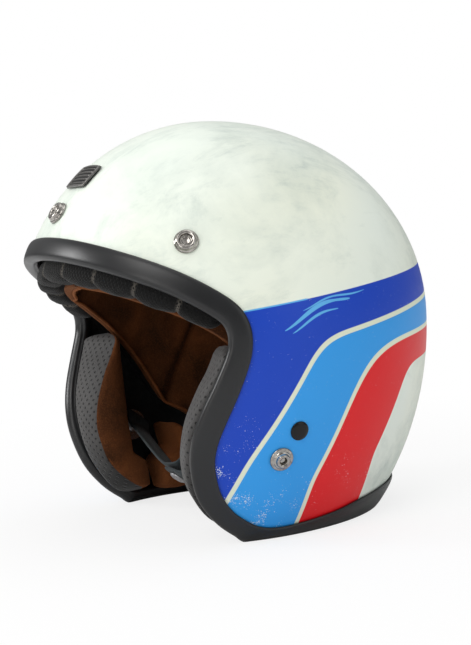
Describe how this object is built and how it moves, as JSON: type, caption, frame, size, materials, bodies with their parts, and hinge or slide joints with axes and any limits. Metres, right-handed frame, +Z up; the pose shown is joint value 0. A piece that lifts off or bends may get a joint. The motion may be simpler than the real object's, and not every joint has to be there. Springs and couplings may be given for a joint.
{
  "type": "open face motorcycle helmet",
  "caption": "Open face helmet with brow snaps, rubber edge trim, quilted brow pad, suede liner, cheek pads and a D-ring chin strap.",
  "frame": {"origin": "middle of the helmet's width and length, on the plane that its edge trim rests on", "axes": "+Z up as the helmet stands, -Y out of the face opening, +X towards the wearer's left"},
  "size_m": [0.2408, 0.2727, 0.2614],
  "materials": {
    "shell_paint": "satin",
    "trim_rubber": "satin",
    "impact_foam": "matte",
    "brown_suede": "matte",
    "black_quilt": "matte",
    "grey_leatherette": "matte",
    "bright_metal": "polished",
    "plain_steel": "satin",
    "badge_metal": "satin",
    "plug_plastic": "satin",
    "slate_webbing": "matte"
  },
  "bodies": {
    "helmet": {"outer_shell": "shell_paint", "edge_trim": "trim_rubber", "eps_liner": "impact_foam", "crown_liner": "brown_suede", "brow_pad": "black_quilt", "cheek_pad_left": "grey_leatherette", "cheek_pad_right": "grey_leatherette", "lobe_pad_left": "brown_suede", "lobe_pad_right": "brown_suede", "neck_roll": "brown_suede", "brow_snap_left": "bright_metal", "brow_snap_centre": "bright_metal", "brow_snap_right": "bright_metal", "snap_washer_left": "plain_steel", "snap_washer_centre": "plain_steel", "snap_washer_right": "plain_steel", "front_badge": "badge_metal", "side_plug_left": "plug_plastic", "side_plug_right": "plug_plastic", "strap_rivet_left": "bright_metal", "strap_rivet_right": "bright_metal"},
    "chin_strap": {"strap_long": "slate_webbing", "strap_short": "slate_webbing", "strap_snap": "plain_steel", "anchor_tab_left": "plain_steel", "anchor_tab_right": "plain_steel"},
    "d_rings": {"d_ring_inner": "plain_steel", "d_ring_outer": "plain_steel"}
  },
  "joints": [
    {"name": "strap_swing", "type": "hinge", "parent": "helmet", "child": "chin_strap", "pos_m": [0, -0.0339, 0.05255], "axis": [1, 0, 0], "range_deg": [-60, 90]},
    {"name": "ring_tilt", "type": "hinge", "parent": "chin_strap", "child": "d_rings", "pos_m": [0.044, -0.0423, 0.04199], "axis": [0, -0.7826, 0.6225], "range_deg": [-4, 4]}
  ]
}
